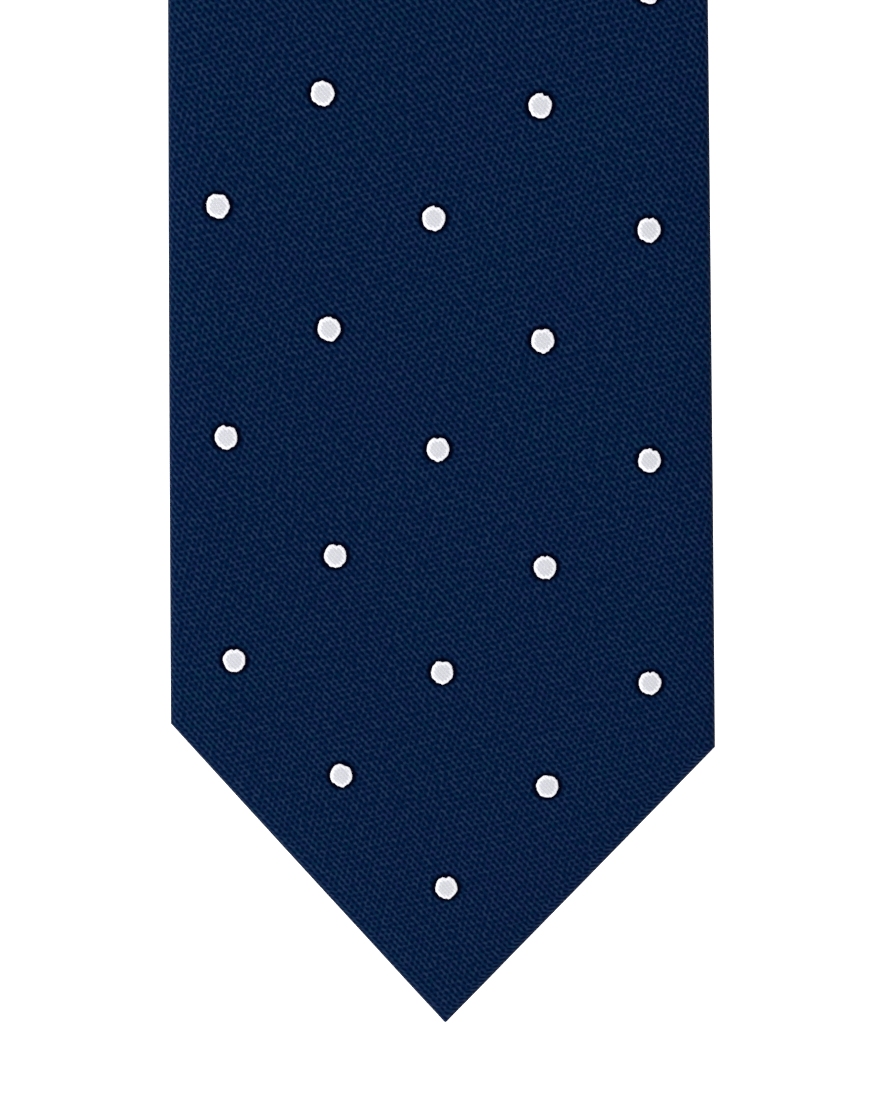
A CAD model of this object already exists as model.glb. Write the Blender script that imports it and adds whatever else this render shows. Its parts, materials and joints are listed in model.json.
"""A navy silk necktie with small woven spots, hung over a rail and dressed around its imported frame."""

import json
import logging
import math
from collections.abc import Callable
from dataclasses import dataclass, replace
from enum import Enum

import bmesh
import bpy
import numpy as np
from mathutils import Matrix, Vector


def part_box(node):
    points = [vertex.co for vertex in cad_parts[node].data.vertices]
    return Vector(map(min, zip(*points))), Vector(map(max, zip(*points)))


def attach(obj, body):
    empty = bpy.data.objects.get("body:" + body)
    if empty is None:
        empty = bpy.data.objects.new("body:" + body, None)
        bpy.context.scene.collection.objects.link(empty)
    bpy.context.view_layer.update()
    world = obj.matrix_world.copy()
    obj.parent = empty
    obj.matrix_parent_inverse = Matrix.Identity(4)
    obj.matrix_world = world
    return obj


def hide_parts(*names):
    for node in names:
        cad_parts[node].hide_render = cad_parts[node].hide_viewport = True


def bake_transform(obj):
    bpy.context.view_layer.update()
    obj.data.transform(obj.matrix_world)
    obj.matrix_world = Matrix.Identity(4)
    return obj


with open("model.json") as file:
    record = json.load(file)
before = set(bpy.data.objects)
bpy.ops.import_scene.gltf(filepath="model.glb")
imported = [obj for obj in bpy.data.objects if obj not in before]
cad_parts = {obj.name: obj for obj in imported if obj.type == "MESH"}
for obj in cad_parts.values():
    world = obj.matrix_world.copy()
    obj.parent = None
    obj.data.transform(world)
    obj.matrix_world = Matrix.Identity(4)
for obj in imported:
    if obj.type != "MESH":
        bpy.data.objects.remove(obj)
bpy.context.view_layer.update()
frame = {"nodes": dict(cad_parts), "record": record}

MM = 0.001
CLOTH_MAP = "Cloth"
SPOT_REACH = "spot_reach"
WELD_REACH = 0.002 * MM
log = logging.getLogger("necktie")

Array = np.ndarray


def smooth_step(low: float, high: float, value: Array) -> Array:
    """Rises smoothly from 0 at low to 1 at high.

    Args:
        low: Where the rise starts.
        high: Where it ends.
        value: The places to read it at.

    Returns:
        The height of the rise at each place.
    """
    t = np.clip((value - low) / (high - low), 0.0, 1.0)
    return t * t * (3.0 - 2.0 * t)


def joint_height(name: str) -> float:
    """Height of a joint's axis in metres."""
    joints = {joint["name"]: joint for joint in frame["record"]["behaviour"]["joints"]}
    return float(joints[name]["pos_m"][2])


class Slot(Enum):
    """The record's material slots."""

    SILK = "spotted_silk"
    WOOL = "wool_canvas"
    SATIN = "tipping_satin"
    THREAD = "navy_thread"
    LABEL = "label_tape"
    CARE = "care_tape"
    LABEL_THREAD = "label_thread"


class Body(Enum):
    """The moving bodies of the tie."""

    NECK = "neck"
    FRONT_UPPER = "front_upper"
    FRONT_LOWER = "front_lower"
    CARE_TAB = "care_tab"
    TAIL_UPPER = "tail_upper"
    TAIL_LOWER = "tail_lower"


@dataclass(frozen=True)
class SpotLattice:
    """The spots' two repeats across the cloth, from a first spot that is measured from the front point."""

    origin: float
    first: tuple[float, float] = (-0.86 * MM, 130.06 * MM)
    step_right: tuple[float, float] = (16.27 * MM, -18.77 * MM)
    step_left: tuple[float, float] = (-15.88 * MM, -16.70 * MM)
    radius: float = 1.675 * MM
    tall: float = 1.08
    span: int = 46
    half_reach: float = 100.0 * MM

    def places(self) -> list[tuple[float, float]]:
        """All lattice places near the cloth, as u and v."""
        found = []
        for i in range(-self.span, self.span):
            for j in range(-self.span, self.span):
                u = self.first[0] + i * self.step_right[0] + j * self.step_left[0]
                v = self.first[1] + i * self.step_right[1] + j * self.step_left[1] + self.origin
                if abs(u) < self.half_reach:
                    found.append((u, v))
        return found


# ---------------------------------------------------------------- shader nodes


class Tree:
    """A short way to add nodes to a shader tree and to join them."""

    def __init__(self, tree: bpy.types.NodeTree) -> None:
        """Keeps the tree that the nodes are added to."""
        self.tree = tree

    def add(self, kind: str, **settings: object) -> bpy.types.Node:
        """Adds a node.

        Args:
            kind: The node's Blender type.
            settings: Properties to set on it.

        Returns:
            The new node.
        """
        node = self.tree.nodes.new(kind)
        for key, value in settings.items():
            setattr(node, key, value)
        return node

    def feed(self, socket: bpy.types.NodeSocket, value: object) -> None:
        """Links an output to the socket, or sets a plain value on it."""
        if isinstance(value, bpy.types.NodeSocket):
            self.tree.links.new(value, socket)
        else:
            socket.default_value = value

    def math(self, operation: str, *values: object) -> bpy.types.NodeSocket:
        """Adds a Math node and feeds its inputs in order.

        Args:
            operation: The Math node's operation.
            values: Numbers or outputs.

        Returns:
            Its output.
        """
        node = self.add("ShaderNodeMath", operation=operation)
        for socket, value in zip(node.inputs, values):
            self.feed(socket, value)
        return node.outputs[0]

    def dot(self, vector: bpy.types.NodeSocket, steps: tuple[float, float]) -> bpy.types.NodeSocket:
        """The share of a cloth coordinate along a direction, in steps."""
        node = self.add("ShaderNodeVectorMath", operation="DOT_PRODUCT")
        self.feed(node.inputs[0], vector)
        self.feed(node.inputs[1], (*steps, 0.0))
        return node.outputs["Value"]

    def wave(self, turns: bpy.types.NodeSocket) -> bpy.types.NodeSocket:
        """A cosine from -1 to 1 that repeats once for each whole turn."""
        return self.math("COSINE", self.math("MULTIPLY", turns, 2.0 * math.pi))

    def rib(self, vector: bpy.types.NodeSocket, steps: tuple[float, float]) -> bpy.types.NodeSocket:
        """Even ribs across a direction of the cloth, from 0 to 1."""
        return self.math("MULTIPLY_ADD", self.wave(self.dot(vector, steps)), 0.5, 0.5)

    def rest(self, value: object) -> bpy.types.NodeSocket:
        """What a share leaves of 1."""
        return self.math("SUBTRACT", 1.0, value)

    def weigh(self, first: object, second: object, shares: tuple[float, float]) -> bpy.types.NodeSocket:
        """The sum of two values by their shares."""
        return self.math("MULTIPLY_ADD", first, shares[0], self.math("MULTIPLY", second, shares[1]))

    def noise(self, vector: object, scale: object, detail: float = 2.0) -> bpy.types.Node:
        """Adds a Noise Texture node of that scale, in features a metre."""
        node = self.add("ShaderNodeTexNoise")
        for socket, value in (("Vector", vector), ("Scale", scale), ("Detail", detail)):
            self.feed(node.inputs[socket], value)
        return node

    def between(self, low: float, high: float, value: object) -> bpy.types.NodeSocket:
        """Rises smoothly from 0 where value is low to 1 where it is high."""
        node = self.add("ShaderNodeMapRange", interpolation_type="SMOOTHSTEP")
        self.feed(node.inputs["Value"], value)
        node.inputs["From Min"].default_value = low
        node.inputs["From Max"].default_value = high
        return node.outputs["Result"]

    def mix(self, share: object, first: object, second: object) -> bpy.types.NodeSocket:
        """Mixes two colours.

        Args:
            share: How much of the second colour shows.
            first: The colour at 0.
            second: The colour at 1.

        Returns:
            The mixed colour.
        """
        node = self.add("ShaderNodeMix", data_type="RGBA")
        # For colours the node's two inputs are its seventh and eighth, and its output is the third.
        for number, value in ((0, share), (6, first), (7, second)):
            self.feed(node.inputs[number], value)
        return node.outputs[2]


@dataclass(frozen=True)
class Finish:
    """What every finish of the tie has in common."""

    name: str
    roughness: float = 0.6
    sheen: float = 0.0
    specular: float = 0.2
    specular_tint: tuple[float, float, float] = (1.0, 1.0, 1.0)
    relief: float = 0.3
    relief_depth: float = 0.1 * MM

    def pattern(self, tree: Tree) -> tuple[object, object, object]:
        """The colour, roughness and height of the surface.

        Args:
            tree: Where its nodes are added.

        Returns:
            An output or plain value for each of the three.
        """
        raise NotImplementedError

    def make(self) -> bpy.types.Material:
        """Builds the material once and hands it out afterwards."""
        known = bpy.data.materials.get(self.name)
        if known is not None:
            return known
        material = bpy.data.materials.new(self.name)
        material.use_nodes = True
        tree = Tree(material.node_tree)
        shader = material.node_tree.nodes["Principled BSDF"]
        colour, roughness, height = self.pattern(tree)
        tree.feed(shader.inputs["Base Color"], colour)
        tree.feed(shader.inputs["Roughness"], roughness)
        shader.inputs["Specular IOR Level"].default_value = self.specular
        shader.inputs["Specular Tint"].default_value = (*self.specular_tint, 1.0)
        shader.inputs["Sheen Weight"].default_value = self.sheen
        bump = tree.add("ShaderNodeBump")
        bump.inputs["Strength"].default_value = self.relief
        bump.inputs["Distance"].default_value = self.relief_depth
        tree.feed(bump.inputs["Height"], height)
        tree.feed(shader.inputs["Normal"], bump.outputs["Normal"])
        return material


class ShaderGroup:
    """A node group that several finishes place with their own values."""

    name = "group"
    numbers: tuple[tuple[str, float], ...] = ()
    results: tuple[str, ...] = ()

    def build(self, tree: Tree, given: bpy.types.Node, result: bpy.types.Node) -> None:
        """Adds the group's own nodes between its inputs and outputs."""
        raise NotImplementedError

    def place(self, tree: Tree, vector: bpy.types.NodeSocket, **values: float) -> bpy.types.Node:
        """Puts the group into a finish.

        Args:
            tree: The finish's nodes.
            vector: The coordinates that it reads.
            values: Its named numbers.

        Returns:
            The placed group.
        """
        group = bpy.data.node_groups.get(self.name)
        if group is None:
            group = bpy.data.node_groups.new(self.name, "ShaderNodeTree")
            group.interface.new_socket("Vector", in_out="INPUT", socket_type="NodeSocketVector")
            for number, start in self.numbers:
                group.interface.new_socket(
                    number, in_out="INPUT", socket_type="NodeSocketFloat").default_value = start
            for result in self.results:
                group.interface.new_socket(result, in_out="OUTPUT", socket_type="NodeSocketFloat")
            inside = Tree(group)
            self.build(inside, inside.add("NodeGroupInput"), inside.add("NodeGroupOutput"))
        node = tree.add("ShaderNodeGroup")
        node.node_tree = group
        tree.feed(node.inputs["Vector"], vector)
        for key, value in values.items():
            tree.feed(node.inputs[key.capitalize()], value)
        return node


class TwillWeave(ShaderGroup):
    """The twill's lattice of floats.

    Rise is the height of the yarn, Gleam and Tone are its quick and slow unevenness.
    """

    name = "Twill weave"
    numbers = (("Fineness", 1.0),)
    results = ("Rise", "Gleam", "Tone")
    rib_steps = (929.7, 809.5)
    pick_steps = (281.4, -1088.4)
    wander = 0.12 * MM
    wander_scale = 420.0
    rib_share = 0.72
    pick_scale = 30.0
    pick_shares = (0.11, 0.30)
    float_edge = (-0.62, 0.72)
    gleam_scale = 1500.0
    gleam_edge = (0.38, 0.68)
    tone_scales = (620.0, 45.0)
    tone_shares = (0.7, 0.3)

    def build(self, tree: Tree, given: bpy.types.Node, result: bpy.types.Node) -> None:
        """Three crossing waves give the slanting ribs and the dark gaps between their floats."""
        vector = given.outputs["Vector"]
        scaled = tree.add("ShaderNodeVectorMath", operation="SCALE")
        tree.feed(scaled.inputs[0], vector)
        tree.feed(scaled.inputs["Scale"], given.outputs["Fineness"])
        uneven = tree.noise(scaled.outputs[0], self.wander_scale)
        shift = tree.add("ShaderNodeVectorMath", operation="MULTIPLY_ADD")
        tree.feed(shift.inputs[0], uneven.outputs["Color"])
        tree.feed(shift.inputs[1], (self.wander, self.wander, 0.0))
        tree.feed(shift.inputs[2], scaled.outputs[0])
        ribs = tree.dot(shift.outputs[0], self.rib_steps)
        picks = tree.dot(shift.outputs[0], self.pick_steps)
        dotted = tree.noise(vector, self.pick_scale, 1.0).outputs["Fac"]
        least, more = self.pick_shares
        share = tree.math("MULTIPLY_ADD", dotted, more, least)
        gap = tree.math("MULTIPLY", tree.wave(ribs), self.rib_share)
        gap = tree.math("MULTIPLY_ADD", tree.wave(picks), share, gap)
        gap = tree.math("MULTIPLY_ADD", tree.wave(tree.math("ADD", ribs, picks)), share, gap)
        tree.feed(result.inputs["Rise"], tree.rest(tree.between(*self.float_edge, gap)))
        gleam = tree.noise(vector, self.gleam_scale, 1.0).outputs["Fac"]
        tree.feed(result.inputs["Gleam"], tree.between(*self.gleam_edge, gleam))
        slow = tree.noise(vector, self.tone_scales[0]).outputs["Fac"]
        slower = tree.noise(vector, self.tone_scales[1], 1.0).outputs["Fac"]
        tree.feed(result.inputs["Tone"], tree.weigh(slow, slower, self.tone_shares))


class SpotShadow(ShaderGroup):
    """The dark yarns that part round each woven spot. Dark is 1 at a spot and falls off round it."""

    name = "Spot shadow"
    results = ("Dark",)
    fall_from, fall_to = 1.24, 1.62

    def __init__(self, lattice: SpotLattice) -> None:
        """Keeps the spots' places."""
        self.lattice = lattice

    def build(self, tree: Tree, given: bpy.types.Node, result: bpy.types.Node) -> None:
        """Measures the distance to the nearest spot of the lattice."""
        lattice = self.lattice
        (ax, ay), (bx, by) = lattice.step_right, lattice.step_left
        area = ax * by - ay * bx
        moved = tree.add("ShaderNodeVectorMath", operation="SUBTRACT")
        tree.feed(moved.inputs[0], given.outputs["Vector"])
        tree.feed(moved.inputs[1], (lattice.first[0], lattice.first[1] + lattice.origin, 0.0))
        counts = [tree.dot(moved.outputs[0], (by / area, -bx / area)),
                  tree.dot(moved.outputs[0], (-ay / area, ax / area))]
        rests = [tree.math("SUBTRACT", count, tree.math("ROUND", count)) for count in counts]
        sides = [tree.weigh(*rests, steps) for steps in ((ax, bx), (ay, by))]
        squares = [tree.math("MULTIPLY", side, side) for side in sides]
        away = tree.math("SQRT", tree.math("ADD", *squares))
        fall = tree.between(lattice.radius * self.fall_from, lattice.radius * self.fall_to, away)
        tree.feed(result.inputs["Dark"], tree.rest(fall))


class FineFuzz(ShaderGroup):
    """Loose fibre on wool, tape and thread."""

    name = "Fine fuzz"
    numbers = (("Grain", 900.0),)
    results = ("Rise", "Tone")
    fine_detail = 4.0
    broad_scale = 60.0

    def build(self, tree: Tree, given: bpy.types.Node, result: bpy.types.Node) -> None:
        """Two noises of different sizes."""
        fine = tree.noise(given.outputs["Vector"], given.outputs["Grain"], self.fine_detail)
        broad = tree.noise(given.outputs["Vector"], self.broad_scale)
        tree.feed(result.inputs["Rise"], fine.outputs["Fac"])
        tree.feed(result.inputs["Tone"], broad.outputs["Fac"])


def cloth_map(tree: Tree) -> bpy.types.NodeSocket:
    """The piece's own flat cloth coordinates, in metres."""
    return tree.add("ShaderNodeUVMap", uv_map=CLOTH_MAP).outputs["UV"]


@dataclass(frozen=True)
class TwillSilk(Finish):
    """Navy twill, darker between the floats and a little uneven in the dyeing."""

    lattice: SpotLattice | None = None
    gap: tuple[float, ...] = (0.0000, 0.0020, 0.0142, 1.0)
    yarn: tuple[float, ...] = (0.0006, 0.0079, 0.0304, 1.0)
    bright: tuple[float, ...] = (0.0071, 0.0195, 0.0503, 1.0)
    green: tuple[float, ...] = (0.0010, 0.0165, 0.0353, 1.0)
    violet: tuple[float, ...] = (0.0049, 0.0094, 0.0442, 1.0)
    shadow: tuple[float, ...] = (0.0001, 0.0001, 0.0032, 1.0)
    green_tone: tuple[float, float] = (0.53, 0.66)
    green_share: float = 0.5
    violet_tone: tuple[float, float] = (0.36, 0.47)
    violet_share: float = 0.45
    float_gloss: float = 0.12

    def pattern(self, tree: Tree) -> tuple[object, object, object]:
        """Floats stand up from dark gaps, with a faint green and violet cast here and there."""
        place = cloth_map(tree)
        weave = TwillWeave().place(tree, place)
        yarn = tree.mix(weave.outputs["Gleam"], self.yarn, self.bright)
        to_green = tree.between(*self.green_tone, weave.outputs["Tone"])
        to_violet = tree.rest(tree.between(*self.violet_tone, weave.outputs["Tone"]))
        yarn = tree.mix(tree.math("MULTIPLY", to_green, self.green_share), yarn, self.green)
        yarn = tree.mix(tree.math("MULTIPLY", to_violet, self.violet_share), yarn, self.violet)
        colour = tree.mix(weave.outputs["Rise"], self.gap, yarn)
        dark = SpotShadow(self.lattice).place(tree, place).outputs["Dark"]
        colour = tree.mix(dark, colour, self.shadow)
        roughness = tree.math("MULTIPLY_ADD", weave.outputs["Rise"], -self.float_gloss, self.roughness)
        return colour, roughness, weave.outputs["Rise"]


@dataclass(frozen=True)
class SpotFloats(Finish):
    """The woven spots: a pale heart and a brighter bound rim."""

    heart: tuple[float, ...] = (0.3750, 0.3750, 0.4050, 1.0)
    heart_shade: tuple[float, ...] = (0.3400, 0.3400, 0.3680, 1.0)
    rim: tuple[float, ...] = (0.5300, 0.5300, 0.5550, 1.0)
    under: tuple[float, ...] = (0.10, 0.11, 0.18, 1.0)
    fineness: float = 1.6
    rim_from: tuple[float, float] = (0.60, 0.92)
    under_from: tuple[float, float] = (1.0, 1.06)
    uneven: float = 0.12

    def pattern(self, tree: Tree) -> tuple[object, object, object]:
        """The colour follows the distance from each spot's middle."""
        reach = tree.add("ShaderNodeAttribute", attribute_name=SPOT_REACH).outputs["Fac"]
        weave = TwillWeave().place(tree, cloth_map(tree), fineness=self.fineness)
        uneven = tree.math("MULTIPLY_ADD", weave.outputs["Rise"], self.uneven, -self.uneven / 2.0)
        heart = tree.mix(weave.outputs["Rise"], self.heart_shade, self.heart)
        bound = tree.mix(tree.between(*self.rim_from, tree.math("ADD", reach, uneven)), heart, self.rim)
        colour = tree.mix(tree.between(*self.under_from, reach), bound, self.under)
        return colour, self.roughness, weave.outputs["Rise"]


@dataclass(frozen=True)
class BrushedWool(Finish):
    """Off-white brushed wool canvas."""

    light: tuple[float, ...] = (0.72, 0.67, 0.57, 1.0)
    dark: tuple[float, ...] = (0.50, 0.45, 0.36, 1.0)
    grain: float = 1400.0

    def pattern(self, tree: Tree) -> tuple[object, object, object]:
        """A plain weave under raised fibre."""
        fuzz = FineFuzz().place(tree, cloth_map(tree), grain=self.grain)
        return tree.mix(fuzz.outputs["Rise"], self.dark, self.light), self.roughness, fuzz.outputs["Rise"]


@dataclass(frozen=True)
class TippingSatin(Finish):
    """Navy satin lining with fine lengthwise ribs."""

    light: tuple[float, ...] = (0.0085, 0.0225, 0.0680, 1.0)
    dark: tuple[float, ...] = (0.0035, 0.0100, 0.0340, 1.0)
    rib_steps: tuple[float, float] = (2100.0, 300.0)
    grain: float = 500.0
    shares: tuple[float, float] = (0.35, 0.65)

    def pattern(self, tree: Tree) -> tuple[object, object, object]:
        """Fine ribs with slow bands of sheen."""
        place = cloth_map(tree)
        rib = tree.rib(place, self.rib_steps)
        fuzz = FineFuzz().place(tree, place, grain=self.grain)
        share = tree.weigh(rib, fuzz.outputs["Tone"], self.shares)
        return tree.mix(share, self.dark, self.light), self.roughness, rib


@dataclass(frozen=True)
class TwistedThread(Finish):
    """Two-ply sewing thread."""

    light: tuple[float, ...] = (0.012, 0.030, 0.090, 1.0)
    dark: tuple[float, ...] = (0.004, 0.010, 0.035, 1.0)
    twist_steps: tuple[float, float] = (3300.0, 2000.0)

    def pattern(self, tree: Tree) -> tuple[object, object, object]:
        """Light and dark bands slant round the thread."""
        share = tree.rib(cloth_map(tree), self.twist_steps)
        return tree.mix(share, self.dark, self.light), self.roughness, share


@dataclass(frozen=True)
class WovenLabel(Finish):
    """A blank damask label with a plain woven border."""

    ground: tuple[float, ...] = (0.008, 0.019, 0.062, 1.0)
    ground_shade: tuple[float, ...] = (0.004, 0.010, 0.036, 1.0)
    border: tuple[float, ...] = (0.30, 0.32, 0.38, 1.0)
    half_width: float = 23.0 * MM
    half_height: float = 13.0 * MM
    inset: float = 2.6 * MM
    line: float = 0.5 * MM
    line_blur: float = 0.2
    rib_steps: tuple[float, float] = (0.0, 2600.0)

    def pattern(self, tree: Tree) -> tuple[object, object, object]:
        """Crosswise ribs, and a line that runs round a little inside the edge."""
        place = cloth_map(tree)
        parts = tree.add("ShaderNodeSeparateXYZ")
        tree.feed(parts.inputs[0], place)
        side = tree.math("SUBTRACT", self.half_width, tree.math("ABSOLUTE", parts.outputs["X"]))
        end = tree.math("SUBTRACT", self.half_height, tree.math("ABSOLUTE", parts.outputs["Y"]))
        inside = tree.math("MINIMUM", side, end)
        off_line = tree.math("ABSOLUTE", tree.math("SUBTRACT", inside, self.inset))
        blur = self.line * self.line_blur
        on_line = tree.rest(tree.between(self.line - blur, self.line + blur, off_line))
        rib = tree.rib(place, self.rib_steps)
        ground = tree.mix(rib, self.ground_shade, self.ground)
        return tree.mix(on_line, ground, self.border), self.roughness, rib


@dataclass(frozen=True)
class PlainTape(Finish):
    """Narrow woven tape of one colour."""

    light: tuple[float, ...] = (0.60, 0.59, 0.56, 1.0)
    dark: tuple[float, ...] = (0.45, 0.44, 0.41, 1.0)
    rib_steps: tuple[float, float] = (0.0, 2200.0)
    grain: float = 700.0
    shares: tuple[float, float] = (0.5, 0.5)

    def pattern(self, tree: Tree) -> tuple[object, object, object]:
        """Crosswise ribs under a little fibre."""
        place = cloth_map(tree)
        rib = tree.rib(place, self.rib_steps)
        fuzz = FineFuzz().place(tree, place, grain=self.grain)
        share = tree.weigh(rib, fuzz.outputs["Rise"], self.shares)
        return tree.mix(share, self.dark, self.light), self.roughness, rib


@dataclass(frozen=True)
class Finishes:
    """The tie's finishes."""

    silk: Finish
    spots: Finish = SpotFloats("Woven spots", specular=0.15, relief=0.25, relief_depth=0.06 * MM)
    wool: Finish = BrushedWool("Brushed wool", roughness=0.95, sheen=0.3, relief=0.6, relief_depth=0.3 * MM)
    satin: Finish = TippingSatin("Tipping satin", roughness=0.42, specular=0.10,
                                 specular_tint=(0.3, 0.5, 1.0), relief_depth=0.04 * MM)
    thread: Finish = TwistedThread("Navy thread", relief=0.5, relief_depth=0.05 * MM)
    label: Finish = WovenLabel("Blank woven label", roughness=0.45, relief_depth=0.04 * MM)
    tape: Finish = PlainTape("White tape", roughness=0.85, specular=0.1, relief=0.4,
                             relief_depth=0.06 * MM)
    pale_thread: Finish = TwistedThread("Grey thread", roughness=0.7, relief=0.5, relief_depth=0.05 * MM,
                                        light=(0.42, 0.45, 0.52, 1.0), dark=(0.20, 0.22, 0.28, 1.0))


# ---------------------------------------------------------------- how the tie lies


@dataclass(frozen=True)
class Lay:
    """How the flat tie lies over the rail.

    A place on the tie is given by x across it, v along it and q, its distance from the rail's axis or from
    the upright plane through that axis. v is the height on the front side, and it runs on over the rail and
    down the tail. Each wave has its radians a metre along and across the tie, its start and its share.
    """

    inner: float
    outer: float
    crown: float = 0.55 * MM
    crown_half: float = 42.0 * MM
    ripple: float = 0.35 * MM
    waves: tuple[tuple[float, ...], ...] = ((21.0, 14.0, 0.6, 0.6), (47.0, -38.0, 2.1, 0.4))
    still: float = 40.0 * MM

    @property
    def bend(self) -> float:
        """Length of the stretch that lies on the rail."""
        return math.pi * (self.inner + self.outer) / 2.0

    def sway(self, x: Array, v: Array) -> Array:
        """How far pressed cloth stands off its plane: a slight crown and slow ripples, none at the rail."""
        loose = smooth_step(self.still / 4.0, self.still, np.abs(v - self.bend / 2.0) - self.bend / 2.0)
        crown = -self.crown * (x / self.crown_half) ** 2
        slow = sum(np.sin(v * along + x * across + start) * share
                   for along, across, start, share in self.waves)
        return loose * (crown + self.ripple * slow)

    def place(self, x: Array, v: Array, q: Array) -> Array:
        """Puts flat places round the rail.

        Args:
            x: Across the tie.
            v: Along the tie.
            q: Away from the rail's axis.

        Returns:
            One point for each place.
        """
        x, v, q = np.broadcast_arrays(x, v, q)
        out = q + self.sway(x, v)
        turn = np.clip(v / self.bend, 0.0, 1.0) * math.pi
        height = np.minimum(v, 0.0) - np.maximum(v - self.bend, 0.0)
        return np.stack([x, -out * np.cos(turn), out * np.sin(turn) + height], axis=-1)


@dataclass(frozen=True)
class PointEnd:
    """One pointed end and the kite-shaped opening behind it, all measured from the point upwards."""

    tip: float
    way: int
    half: float
    rise: float
    meeting: float
    hem: float

    def above(self, v: Array) -> Array:
        """Distance of v above the point."""
        return self.way * (v - self.tip)

    @property
    def strip(self) -> float:
        """Width of the turned-in strip on a level cut."""
        return self.hem * math.hypot(self.half, self.rise) / self.rise

    @property
    def corner(self) -> float:
        """Half the width of the opening at its widest."""
        return self.half - self.hem

    @property
    def corner_rise(self) -> float:
        """Height of the opening's widest place above the point."""
        return (self.corner + self.strip) * self.rise / self.half

    def opening(self, v: Array) -> Array:
        """Half the width of the opening between the turned-in edges."""
        d = self.above(v)
        lower = d * self.half / self.rise - self.strip
        upper = self.corner * (self.meeting - d) / (self.meeting - self.corner_rise)
        return np.maximum(np.minimum(lower, upper), 0.0)


class Outline:
    """Half width of the tie along its length, read from the frame's shells."""

    face_room = 0.05 * MM
    settle = 100.0 * MM
    slant_reach = 1.2 * MM

    def __init__(self, lay: Lay, front: PointEnd, lean: tuple[float, float]) -> None:
        """Reads the outline.

        Args:
            lay: How the tie lies.
            front: The front point.
            lean: How far the left and the right front shoulder stand above the frame's.
        """
        places: dict[float, float] = {}
        for node in ("front_shell_lower", "front_shell_upper", "tail_shell_upper", "tail_shell_lower"):
            for vertex in frame["nodes"][node].data.vertices:
                if abs(abs(vertex.co.y) - lay.outer) < self.face_room:
                    v = vertex.co.z if vertex.co.y < 0 else lay.bend - vertex.co.z
                    key = round(v, 5)
                    places[key] = max(places.get(key, 0.0), abs(vertex.co.x))
        self.stations = np.array(sorted(places))
        self.halves = np.array([places[v] for v in sorted(places)])
        self.front = front
        self.lean = lean

    def half_width(self, side: Array, v: Array) -> Array:
        """Half width on one side.

        Args:
            side: -1 for the left and 1 for the right.
            v: Along the tie.

        Returns:
            The distance from the middle to the edge.
        """
        tip, rise = self.front.tip, self.front.rise
        taken = []
        for shift in self.lean:
            seen = [tip, tip + rise + shift, tip + rise + self.settle]
            meant = [tip, tip + rise, tip + rise + self.settle]
            warped = np.where(v < seen[-1], np.interp(v, seen, meant), v)
            taken.append(np.interp(warped, self.stations, self.halves))
        return np.where(side < 0, taken[0], taken[1])

    def point_slope(self, end: PointEnd, side: Array) -> Array:
        """How fast a side's half width grows with v along a point's edge."""
        lean = np.where(side < 0, self.lean[0], self.lean[1]) * (end.tip == self.front.tip)
        return end.way * end.half / (end.rise + lean)

    def slant(self, side: Array, v: Array) -> Array:
        """How much wider a level cut through the edge is than a square one."""
        reach = self.slant_reach
        change = self.half_width(side, v + reach) - self.half_width(side, v - reach)
        return np.hypot(1.0, change / (2.0 * reach))


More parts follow.
